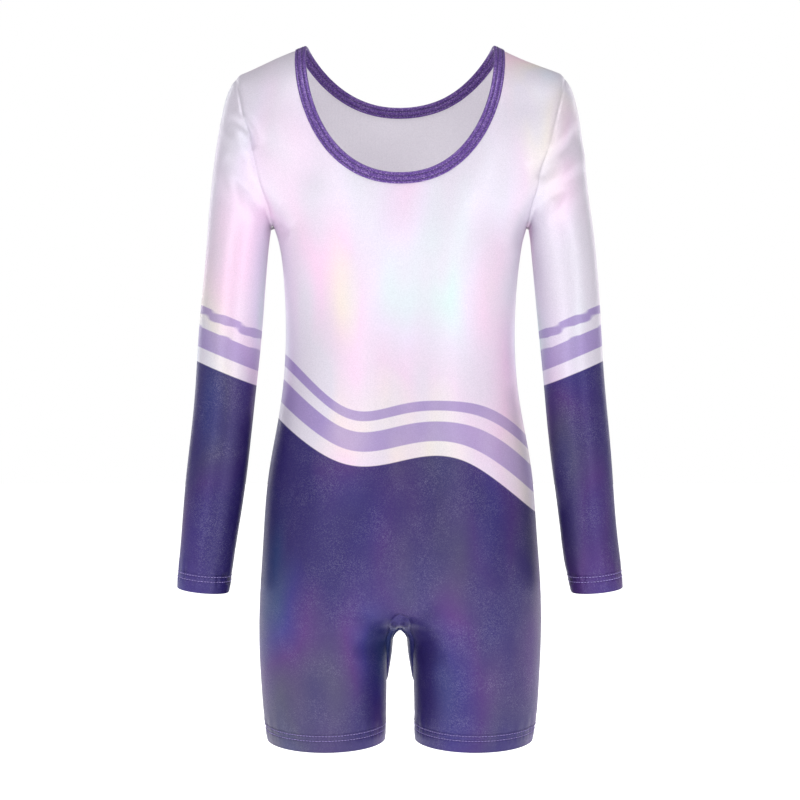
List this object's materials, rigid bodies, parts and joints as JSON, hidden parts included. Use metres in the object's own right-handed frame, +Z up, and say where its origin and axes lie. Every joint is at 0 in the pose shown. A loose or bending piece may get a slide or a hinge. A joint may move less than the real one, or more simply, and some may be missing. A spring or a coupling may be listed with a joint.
{
  "type": "gymnastics leotard",
  "caption": "Child's gymnastics leotard with long sleeves, short legs, a scoop neck and a foiled print, shaped as worn.",
  "frame": {"origin": "midway between the two high points of the shoulders, at the top of the neck opening", "axes": "+Z up, the front faces -Y, +X is the wearer's left"},
  "size_m": [0.378, 0.1645, 0.5942],
  "materials": {
    "foiled_print_knit": "foiled stretch knit, printed in dark purple, lavender and pearl white",
    "foiled_binding": "foiled purple knit binding",
    "sewing_thread": "matt purple polyester thread",
    "lining_knit": "matt white knit",
    "elastic_tape": "matt white elastic"
  },
  "bodies": {
    "bodice": {"front_panel": "foiled_print_knit", "back_panel": "foiled_print_knit", "crotch_gusset": "foiled_print_knit", "gusset_lining": "lining_knit", "right_sleeve_head": "foiled_print_knit", "left_sleeve_head": "foiled_print_knit", "neck_binding": "foiled_binding", "neck_elastic": "elastic_tape", "neck_topstitch_inner": "sewing_thread", "neck_topstitch_outer": "sewing_thread", "right_leg_hem": "foiled_print_knit", "right_leg_topstitch_lower": "sewing_thread", "right_leg_topstitch_upper": "sewing_thread", "left_leg_hem": "foiled_print_knit", "left_leg_topstitch_lower": "sewing_thread", "left_leg_topstitch_upper": "sewing_thread", "right_side_seam": "sewing_thread", "right_inseam": "sewing_thread", "right_shoulder_seam": "elastic_tape", "right_armhole_seam": "sewing_thread", "left_side_seam": "sewing_thread", "left_inseam": "sewing_thread", "left_shoulder_seam": "elastic_tape", "left_armhole_seam": "sewing_thread"},
    "left_arm": {"left_sleeve": "foiled_print_knit", "left_cuff_hem": "foiled_print_knit", "left_cuff_topstitch_lower": "sewing_thread", "left_cuff_topstitch_upper": "sewing_thread", "left_underarm_seam": "sewing_thread"},
    "right_arm": {"right_sleeve": "foiled_print_knit", "right_cuff_hem": "foiled_print_knit", "right_cuff_topstitch_lower": "sewing_thread", "right_cuff_topstitch_upper": "sewing_thread", "right_underarm_seam": "sewing_thread"}
  },
  "joints": [
    {"name": "left_sleeve_raise", "type": "hinge", "parent": "bodice", "child": "left_arm", "pos_m": [0.1241, 0, -0.0905], "axis": [0, -1, 0], "range_deg": [0, 60]},
    {"name": "right_sleeve_raise", "type": "hinge", "parent": "bodice", "child": "right_arm", "pos_m": [-0.1241, 0, -0.0905], "axis": [0, 1, 0], "range_deg": [0, 60]}
  ]
}
